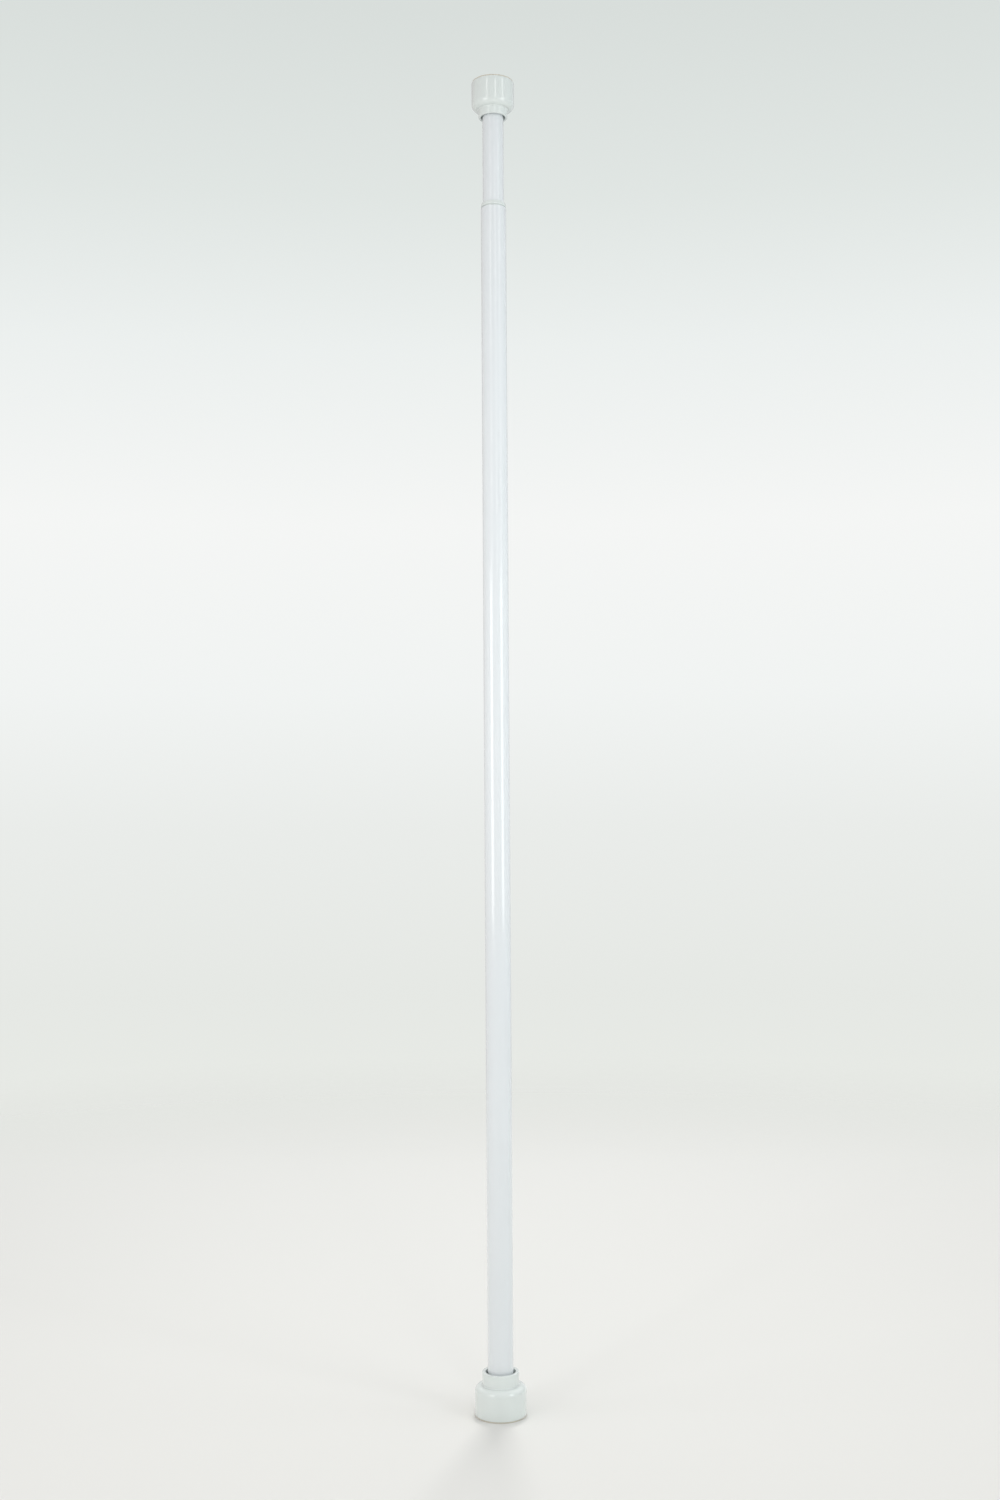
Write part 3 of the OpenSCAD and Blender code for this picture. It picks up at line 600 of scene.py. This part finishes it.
# Runs a tree on a seed mesh and returns the plain mesh that it makes
def growMesh(tree, seedMesh, values):
    seed = bpy.data.objects.new("seed", seedMesh)
    scene.collection.objects.link(seed)
    modifier = seed.modifiers.new("growth", "NODES")
    modifier.node_group = tree
    sockets = {item.name: item.identifier for item in tree.interface.items_tree
               if item.item_type == "SOCKET" and item.in_out == "INPUT"}
    for label, value in values.items():
        modifier[sockets[label]] = value
    mesh = bpy.data.meshes.new_from_object(seed.evaluated_get(bpy.context.evaluated_depsgraph_get()))
    bpy.data.objects.remove(seed)
    return mesh


arcSteps = {"least": 4, "perRoot": 6}  # steps in a rounding: more on a larger one


# Rounds the corners of a closed outline; a corner is (radius, height, rounding) in mm
def roundCorners(corners):
    points = []
    for i, (r, z, rounding) in enumerate(corners):
        corner = Vector((r, z))
        if rounding == 0:
            points.append(corner)
            continue
        back = (Vector(corners[i - 1][:2]) - corner).normalized()
        ahead = (Vector(corners[(i + 1) % len(corners)][:2]) - corner).normalized()
        half = back.angle(ahead) / 2
        middle = corner + (back + ahead).normalized() * rounding / sin(half)
        start = (corner + back * rounding / tan(half) - middle).normalized()
        end = (corner + ahead * rounding / tan(half) - middle).normalized()
        steps = max(arcSteps["least"], round(arcSteps["perRoot"] * sqrt(rounding)))
        points += [middle + start.slerp(end, step / steps) * rounding for step in range(steps + 1)]
    return points


def shadeMesh(mesh, sharpAngle=35):
    mesh.shade_smooth()
    mesh.set_sharp_from_angle(angle=radians(sharpAngle))


def finishMesh(mesh, sharpAngle=35):
    shape = bmesh.new()
    shape.from_mesh(mesh)
    bmesh.ops.remove_doubles(shape, verts=shape.verts, dist=weldGap)
    between = [vert for vert in shape.verts if len(vert.link_edges) == 2]  # left by a cut, between two faces
    bmesh.ops.dissolve_verts(shape, verts=between)
    bmesh.ops.recalc_face_normals(shape, faces=shape.faces)
    shape.to_mesh(mesh)
    shape.free()
    shadeMesh(mesh, sharpAngle)


# Two heights in mm past a face, upwards or downwards from it, as the lower and the higher in metres
def heightSpan(face, upwards, first, second):
    way = 1 if upwards else -1
    return sorted((face + way * first * mm, face + way * second * mm))


segments = 160  # faces round every turned piece


# A turned piece from an outline in mm, whose heights are measured from a face and go up or down from it
def turnMesh(corners, face, upwards, material):
    way = 1 if upwards else -1
    points = [(p.x * mm - turnRadius, -(face + way * p.y * mm), 0) for p in roundCorners(corners)]
    seed = bpy.data.meshes.new("outline")
    seed.from_pydata(points, [(i, (i + 1) % len(points)) for i in range(len(points))], [])
    mesh = growMesh(turningTree, seed, {"Segments": segments, "Material": material})
    finishMesh(mesh)
    return mesh


def boxMesh(low, high):
    shape = bmesh.new()
    bmesh.ops.create_cube(shape, size=1)
    for vert in shape.verts:
        vert.co = Vector([low[k] + (vert.co[k] + 0.5) * (high[k] - low[k]) for k in range(3)])
    mesh = bpy.data.meshes.new("block")
    shape.to_mesh(mesh)
    shape.free()
    return mesh


# Adds or cuts one mesh with another, and returns the result
def combine(mesh, other, operation):
    base = bpy.data.objects.new("base", mesh)
    tool = bpy.data.objects.new("tool", other)
    for each in (base, tool):
        scene.collection.objects.link(each)
    modifier = base.modifiers.new("combine", "BOOLEAN")
    modifier.operation, modifier.object, modifier.solver = operation, tool, "EXACT"
    made = bpy.data.meshes.new_from_object(base.evaluated_get(bpy.context.evaluated_depsgraph_get()))
    bpy.data.objects.remove(base)
    bpy.data.objects.remove(tool)
    finishMesh(made)
    return made


# Makes the piece's object, gives it its slot's finish when its mesh has none, hangs it on its body and hides
# the node that it stands for
def placePiece(name, mesh, node, slot):
    piece = bpy.data.objects.new(name, mesh)
    scene.collection.objects.link(piece)
    if not mesh.materials:
        mesh.materials.append(finishes[slot])
    body = next(b for b, members in frame["record"]["behaviour"]["bodies"].items() if node in members)
    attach(piece, body)
    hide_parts(node)
    return piece


# Both tubes: thin steel with a slightly rolled edge at each end, and pin holes low in the inner one
outerTube = {"wall": 0.8, "edge": 0.3}
innerTube = {"wall": 0.7, "edge": 0.25, "pinHole": 2.5, "pinCount": 3, "drill": 12.0,
             "drillSides": 32}


def tubeMesh(node, tube):
    low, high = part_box(node)
    r, length = high.x / mm, (high.z - low.z) / mm
    bore = r - tube["wall"]
    ends = [(bore, 0), (r, 0), (r, length), (bore, length)]
    corners = [(*end, tube["edge"]) for end in ends]
    return turnMesh(corners, low.z, True, finishes["tube_coat"])


def makeOuterTube():
    placePiece("outer_tube_coated", tubeMesh("outer_tube", outerTube), "outer_tube", "tube_coat")


def makeInnerTube():
    low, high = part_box("guide_pins")
    height = (low.z + high.z) / 2
    drill = bpy.data.meshes.new("drill")
    shape = bmesh.new()
    radius = innerTube["pinHole"] / 2 * mm
    reach = innerTube["drill"] * mm  # the drill's length, and how far out its middle is
    bmesh.ops.create_cone(shape, cap_ends=True, segments=innerTube["drillSides"], radius1=radius,
                          radius2=radius, depth=reach)
    bmesh.ops.rotate(shape, verts=shape.verts, matrix=Matrix.Rotation(pi / 2, 3, "Y"))
    bmesh.ops.translate(shape, verts=shape.verts, vec=(reach, 0, height))
    shape.to_mesh(drill)
    shape.free()
    drills = growMesh(roundTree, drill, {"Count": innerTube["pinCount"], "First Angle": 0.0,
                                         "Material": finishes["tube_coat"]})
    mesh = combine(tubeMesh("inner_tube", innerTube), drills, "DIFFERENCE")
    placePiece("inner_tube_coated", mesh, "inner_tube", "tube_coat")


# Collar in the outer tube's mouth: gap above the tube, straight band, rounded crown, sleeve in the tube
collar = {"gap": 1.1, "gapDeep": 1.1, "gapEdge": 0.1, "band": 1.9, "crown": 8.0, "crownSteps": 8,
          "edge": 0.22, "topEdge": 0.3, "sleeveEdge": 0.3, "fit": 0.05, "press": 0.01}


def makeCollar():
    low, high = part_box("mouth_collar")
    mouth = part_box("outer_tube")[1].z
    rise = (high.z - mouth) / mm
    depth = (mouth - low.z) / mm
    bandR = high.x / mm
    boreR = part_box("inner_tube")[1].x / mm + collar["fit"]
    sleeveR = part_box("outer_tube")[1].x / mm - outerTube["wall"] - collar["press"]
    gapR = bandR - collar["gapDeep"]
    middle = bandR - collar["crown"]
    crown = []
    for step in range(1, collar["crownSteps"] + 1):
        z = collar["band"] + (rise - collar["band"]) * step / collar["crownSteps"]
        crown.append((middle + sqrt(collar["crown"] ** 2 - (z - collar["band"]) ** 2), z, 0))
    crown[-1] = (crown[-1][0], crown[-1][1], collar["topEdge"])
    corners = [(boreR, -depth, collar["sleeveEdge"]), (sleeveR, -depth, collar["sleeveEdge"]),
               (sleeveR, 0, 0), (gapR, 0, 0), (gapR, collar["gap"], collar["gapEdge"]),
               (bandR, collar["gap"], collar["edge"]), (bandR, collar["band"], 0), *crown,
               (boreR, rise, collar["edge"])]
    placePiece("mouth_collar_moulded", turnMesh(corners, mouth, True, finishes["cup_plastic"]),
               "mouth_collar", "cup_plastic")


# Cups, measured in mm from the face of their pad; both have the same wall, floor, socket and ribs.
# A hair keeps two roundings that meet from sharing a point
cupCommon = {"wall": 2.0, "floorZ": 8.0, "floorT": 3.0, "socketWall": 2.0, "socketDepth": 12.0, "hole": 2.3,
             "lip": 1.2, "shoulder": 6.0, "neckFillet": 1.2, "rim": 0.9, "foot": 0.55, "edge": 0.3,
             "fineEdge": 0.2, "hair": 0.001, "ribs": 8, "ribT": 1.6, "ribFrom": 3.6, "ribDrop": 2.0,
             "ribSink": 0.5, "fit": 0.01}
largeCup = {"body": 23.2, "neckGap": 1.85, "neckWall": 3.4, "tube": "outer_tube", "up": True}
smallCup = {"body": 22.2, "neckGap": 1.35, "neckWall": 2.5, "tube": "inner_tube", "up": False}


def cupMesh(node, cup, face):
    low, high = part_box(node)
    c = cupCommon
    cupR = high.x / mm
    tall = (high.z - low.z) / mm + c["lip"]
    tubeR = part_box(cup["tube"])[1].x / mm
    neckBore = tubeR + cup["neckGap"]
    neckR = neckBore + cup["neckWall"]
    shoulder = min(c["shoulder"], cupR - neckR - c["neckFillet"])
    ledge = cup["body"] + shoulder
    socketR = tubeR + c["fit"]
    socketOut = socketR + c["socketWall"]
    hollow = shoulder - c["wall"]
    seat = c["floorZ"] + c["floorT"]
    innerR = cupR - c["wall"]
    topR = cupR - shoulder - hollow
    top = cup["body"] + hollow
    rim, edge, fineEdge, hair = c["rim"], c["edge"], c["fineEdge"], c["hair"]
    corners = [
        (cupR, c["lip"], c["foot"]), (cupR, ledge, shoulder - hair), (neckR, ledge, c["neckFillet"]),
        (neckR, tall, rim), (neckBore, tall, rim), (neckBore, seat + c["socketDepth"], edge),
        (socketR, seat + c["socketDepth"], edge), (socketR, seat, 0), (c["hole"], seat, 0),
        (c["hole"], c["floorZ"], fineEdge), (socketOut, c["floorZ"], edge), (socketOut, cup["body"], 0),
        (topR, cup["body"], 0), (topR, top, hollow - hair), (innerR, top, hollow - hair),
        (innerR, c["lip"], fineEdge),
    ]
    mesh = turnMesh(corners, face, cup["up"], finishes["cup_plastic"])
    ends = heightSpan(face, cup["up"], c["ribFrom"], cup["body"] - c["ribDrop"])
    rib = boxMesh(((socketOut - c["ribSink"]) * mm, -c["ribT"] / 2 * mm, ends[0]),
                  ((innerR + c["ribSink"]) * mm, c["ribT"] / 2 * mm, ends[1]))
    ribs = growMesh(roundTree, rib, {"Count": c["ribs"], "First Angle": 0.0,
                                     "Material": finishes["cup_plastic"]})
    return combine(mesh, ribs, "UNION")


def makeCups():
    placePiece("large_cup_moulded", cupMesh("large_cup", largeCup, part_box("large_pad")[0].z), "large_cup",
               "cup_plastic")
    placePiece("small_cup_moulded", cupMesh("small_cup", smallCup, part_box("small_pad")[1].z), "small_cup",
               "cup_plastic")


# Pads: a lip at the cup's edge, a plug inside it, ring grooves in the face with short webs across them
pads = {"groove": 1.4, "deep": 0.6, "pitch": 4.0, "edge": 0.35, "landEdge": 0.18, "webs": 12, "webT": 0.7,
        "webSink": 0.15, "webRoot": 0.3, "webSide": 0.2}


def padMesh(node, cupNode, up):
    low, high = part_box(node)
    lipR, thick = high.x / mm, (high.z - low.z) / mm
    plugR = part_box(cupNode)[1].x / mm - cupCommon["wall"] - cupCommon["fit"]
    face = low.z if up else high.z
    half = pads["groove"] / 2
    rings = [i * pads["pitch"] for i in range(1, int((lipR - 2 * pads["groove"]) / pads["pitch"]) + 1)]
    corners = [(0, thick, 0), (0, 0, 0)]
    for r in rings:
        corners += [(r - half, 0, pads["landEdge"]), (r - half, pads["deep"], pads["landEdge"]),
                    (r + half, pads["deep"], pads["landEdge"]), (r + half, 0, pads["landEdge"])]
    corners += [(lipR, 0, pads["edge"]), (lipR, cupCommon["lip"], pads["edge"]),
                (plugR, cupCommon["lip"], 0), (plugR, thick, pads["edge"])]
    mesh = turnMesh(corners, face, up, finishes["pad_soft"])
    ends = heightSpan(face, up, pads["webSink"], pads["deep"] + pads["webRoot"])
    for row, r in enumerate(rings):
        web = boxMesh(((r - half - pads["webSide"]) * mm, -pads["webT"] / 2 * mm, ends[0]),
                      ((r + half + pads["webSide"]) * mm, pads["webT"] / 2 * mm, ends[1]))
        webs = growMesh(roundTree, web, {"Count": pads["webs"], "First Angle": row % 2 * pi / pads["webs"],
                                         "Material": finishes["pad_soft"]})
        mesh = combine(mesh, webs, "UNION")
    return mesh


def makePads():
    placePiece("large_pad_tread", padMesh("large_pad", "large_cup", True), "large_pad", "pad_soft")
    placePiece("small_pad_tread", padMesh("small_pad", "small_cup", False), "small_pad", "pad_soft")


# Compression spring with closed end turns
spring = {"wire": 1.8, "turns": 18, "closed": 1.0, "travel": 45.0, "stepsPerTurn": 40, "wireSides": 14,
          "sharpAngle": 50}


def makeSpring():
    low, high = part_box("plunger_spring")
    tall = (high.z - low.z) / mm
    mesh = growMesh(helixTree, bpy.data.meshes.new("nothing"), {
        "Turns": float(spring["turns"]), "Steps": spring["turns"] * spring["stepsPerTurn"] + 1,
        "Radius": high.x - spring["wire"] / 2 * mm, "Rise": (tall - spring["wire"]) * mm,
        "Closed Turns": spring["closed"], "Wire Radius": spring["wire"] / 2 * mm,
        "Wire Sides": spring["wireSides"], "Thin Share": 0.0, "Material": finishes["spring_steel"]})
    mesh.transform(Matrix.Translation((0, 0, low.z + spring["wire"] / 2 * mm)))
    finishMesh(mesh, spring["sharpAngle"])
    piece = placePiece("plunger_spring_coil", mesh, "plunger_spring", "spring_steel")
    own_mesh(piece)


# Screws: rounded head with a cross slot, and a coarse thread for plastic. Sizes are in mm; crownShare and
# slotShare are parts of the head's radius, and slotDeep is a part of its height
screws = {"shank": 1.6, "thread": 2.0, "pitch": 1.4, "plain": 1.5, "tip": 2.0, "tipEdge": 0.3,
          "crownShare": 0.75, "headEdge": 0.9, "skirt": 0.25, "skirtEdge": 0.2, "underEdge": 0.1,
          "slotW": 1.1, "slotShare": 0.6, "slotDeep": 0.5, "slotClear": 1.0, "threadSink": 0.02,
          "threadThin": 0.06, "threadSides": 4, "stepsPerTurn": 24, "sharpAngle": 30}
screwNodes = {"large_end_screw": {"head": 2.4, "up": True}, "small_end_screw": {"head": 2.4, "up": False},
              "cam_screw": {"head": 2.6, "up": True}}


def screwBlank(screw, headR, under, shankLen):
    head = screw["head"]
    corners = [
        (0, -head, 0), (headR * screws["crownShare"], -head, screws["headEdge"]),
        (headR, -screws["skirt"], screws["skirtEdge"]), (headR, 0, screws["underEdge"]),
        (screws["shank"], 0, screws["skirtEdge"]),
        (screws["shank"], shankLen - screws["tip"], screws["tipEdge"]), (0, shankLen, 0),
    ]
    mesh = turnMesh(corners, under, screw["up"], finishes["zinc_steel"])
    ends = heightSpan(under, screw["up"], -(head + screws["slotClear"]), -head * (1 - screws["slotDeep"]))
    longHalf = headR * screws["slotShare"]
    shortHalf = screws["slotW"] / 2
    for halfX, halfY in ((longHalf, shortHalf), (shortHalf, longHalf)):
        slot = boxMesh((-halfX * mm, -halfY * mm, ends[0]), (halfX * mm, halfY * mm, ends[1]))
        mesh = combine(mesh, slot, "DIFFERENCE")
    return mesh


def screwThread(screw, under, shankLen):
    threadLen = shankLen - screws["plain"] - screws["tip"] / 2
    turns = threadLen / screws["pitch"]
    ridge = growMesh(helixTree, bpy.data.meshes.new("nothing"), {
        "Turns": turns, "Steps": int(turns * screws["stepsPerTurn"]),
        "Radius": (screws["shank"] - screws["threadSink"]) * mm, "Rise": threadLen * mm,
        "Closed Turns": 0.0, "Wire Radius": (screws["thread"] - screws["shank"]) * mm,
        "Wire Sides": screws["threadSides"], "Thin Share": screws["threadThin"],
        "Material": finishes["zinc_steel"]})
    way = 1 if screw["up"] else -1
    start = under + way * screws["plain"] * mm
    ridge.transform(Matrix.Translation((0, 0, start)) @ Matrix.Rotation(0 if screw["up"] else pi, 4, "X"))
    finishMesh(ridge, screws["sharpAngle"])
    return ridge


def makeScrew(node, screw):
    low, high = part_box(node)
    headR = (high.x - low.x) / 2 / mm
    under = low.z + screw["head"] * mm if screw["up"] else high.z - screw["head"] * mm
    shankLen = (high.z - low.z) / mm - screw["head"]
    ridge = screwThread(screw, under, shankLen)
    mesh = combine(screwBlank(screw, headR, under, shankLen), ridge, "UNION")
    mesh.transform(Matrix.Translation(((low.x + high.x) / 2, 0, 0)))
    placePiece(node + "_threaded", mesh, node, "zinc_steel")


# Pieces inside the tubes keep their shape and get soft edges; the number is the edge's width in mm
softEdged = {
    "large_end_plug": ("nylon_natural", 0.4), "small_end_plug": ("nylon_natural", 0.4),
    "glide_ring": ("nylon_natural", 0.3), "cam_ring": ("nylon_natural", 0.15),
    "lock_core": ("nylon_black", 0.2), "guide_plug": ("nylon_black", 0.3),
    "large_end_washer": ("zinc_steel", 0.15), "small_end_washer": ("zinc_steel", 0.15),
    "cam_washer": ("zinc_steel", 0.2), "stop_washer": ("zinc_steel", 0.2),
    "seat_washer": ("zinc_steel", 0.15), "stop_nut": ("zinc_steel", 0.3), "plunger_rod": ("zinc_steel", 0.2),
    "rod_pin": ("zinc_steel", 0.25), "guide_pins": ("zinc_steel", 0.2),
}
softEdge = {"flatAngle": 0.5, "cornerAngle": 40, "steps": 3}  # faces flatter than the first angle are joined


def makeSoftEdged(node, slot, width):
    mesh = frame["nodes"][node].data.copy()
    mesh.materials.clear()
    shape = bmesh.new()
    shape.from_mesh(mesh)
    bmesh.ops.remove_doubles(shape, verts=shape.verts, dist=weldGap)
    flat, sharp = radians(softEdge["flatAngle"]), radians(softEdge["cornerAngle"])
    bmesh.ops.dissolve_limit(shape, angle_limit=flat, verts=shape.verts, edges=shape.edges)
    corners = [edge for edge in shape.edges if len(edge.link_faces) == 2 and edge.calc_face_angle() > sharp]
    bmesh.ops.bevel(shape, geom=corners, offset=width * mm, segments=softEdge["steps"], profile=0.5,
                    affect="EDGES", clamp_overlap=True)
    shape.to_mesh(mesh)
    shape.free()
    shadeMesh(mesh)
    placePiece(node + "_finished", mesh, node, slot)


makeOuterTube()
makeInnerTube()
makeCollar()
print("tubes and collar made")
makeCups()
makePads()
print("cups and pads made")
makeSpring()
for screwNode, screwSize in screwNodes.items():
    makeScrew(screwNode, screwSize)
for softNode, (softSlot, softWidth) in softEdged.items():
    makeSoftEdged(softNode, softSlot, softWidth)
print("pieces inside the tubes made")
